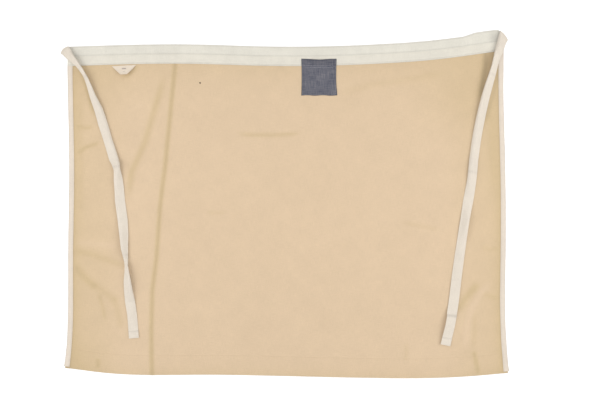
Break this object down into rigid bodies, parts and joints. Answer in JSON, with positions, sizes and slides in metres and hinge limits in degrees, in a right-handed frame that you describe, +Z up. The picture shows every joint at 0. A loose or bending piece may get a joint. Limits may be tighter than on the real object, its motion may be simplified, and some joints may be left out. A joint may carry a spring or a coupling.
{
  "type": "waist apron",
  "caption": "Long half apron in tan twill: cream waistband with sewn-on tape ties folded over the front, bound sides, deep hem, small blue patch pocket and a plain label tab.",
  "frame": {"origin": "on the surface that the apron lies on, under the middle of the apron's outline (ties not counted)", "axes": "+X along the waistband, towards the wearer's left side when worn, +Y from the hem up to the waistband, +Z up out of the front of the apron"},
  "size_m": [1.0723, 0.8322, 0.008],
  "materials": {
    "tan_twill": "matt cotton twill",
    "cream_cotton": "matt plain-weave cotton",
    "cream_tape": "matt herringbone cotton tape",
    "cream_binding": "matt plain-weave cotton",
    "blue_chambray": "matt yarn-dyed chambray",
    "label_cotton": "matt cotton tape",
    "cream_thread": "spun thread",
    "tan_thread": "spun thread",
    "blue_thread": "spun thread"
  },
  "bodies": {
    "apron": {"apron_panel": "tan_twill", "waistband": "cream_cotton", "waist_tape": "cream_tape", "left_side_binding": "cream_binding", "right_side_binding": "cream_binding", "pocket": "blue_chambray", "waistband_stitching": "cream_thread", "waist_tape_upper_stitching": "cream_thread", "waist_tape_lower_stitching": "cream_thread", "hem_stitching": "tan_thread", "left_binding_stitching": "cream_thread", "right_binding_stitching": "cream_thread", "pocket_seam_stitching": "blue_thread", "pocket_mouth_stitching": "blue_thread", "left_tie_anchor_stitching": "cream_thread", "right_tie_anchor_stitching": "cream_thread"},
    "left_tie_tape": {"left_tie": "cream_tape", "left_tie_end_stitching": "cream_thread"},
    "right_tie_tape": {"right_tie": "cream_tape", "right_tie_end_stitching": "cream_thread"},
    "label_tab": {"label": "label_cotton"}
  },
  "joints": [
    {"name": "left_tie_fold", "type": "hinge", "parent": "apron", "child": "left_tie_tape", "pos_m": [-0.5265, 0.367, 0.005], "axis": [-0.6018, -0.7986, 0], "range_deg": [0, 175]},
    {"name": "right_tie_fold", "type": "hinge", "parent": "apron", "child": "right_tie_tape", "pos_m": [0.5245, 0.4047, 0.005], "axis": [-0.6428, 0.766, 0], "range_deg": [0, 175]},
    {"name": "label_lift", "type": "hinge", "parent": "apron", "child": "label_tab", "pos_m": [-0.3855, 0.3333, 0.0019], "axis": [-0.9986, -0.0523, 0], "range_deg": [0, 150]}
  ]
}
